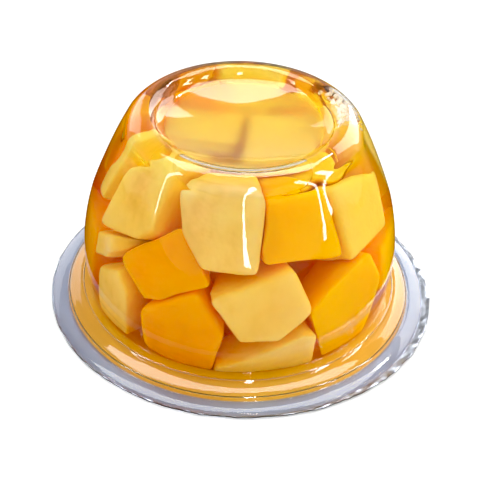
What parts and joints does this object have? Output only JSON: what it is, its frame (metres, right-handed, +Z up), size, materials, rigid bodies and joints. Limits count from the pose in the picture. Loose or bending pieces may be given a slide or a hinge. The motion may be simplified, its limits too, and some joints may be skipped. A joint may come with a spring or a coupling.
{
  "type": "fruit salad cup",
  "caption": "Sealed clear plastic fruit salad cup standing upside down on its foil lid, with diced peach and pear in amber syrup.",
  "frame": {"origin": "on the cup's axis, on the flat underside of the foil lid", "axes": "+Z up along the cup's axis, from the lid towards the recessed base; -Y towards the front"},
  "size_m": [0.0972, 0.0972, 0.0522],
  "materials": {
    "foil": "crinkled satin foil",
    "clear_plastic": "clear and glossy",
    "fruit_in_syrup": "clear amber syrup",
    "pear": "soft pale fruit flesh",
    "peach": "soft yellow fruit flesh"
  },
  "bodies": {
    "root": {"foil_lid": "foil", "cup": "clear_plastic", "filling": "fruit_in_syrup"}
  },
  "joints": []
}
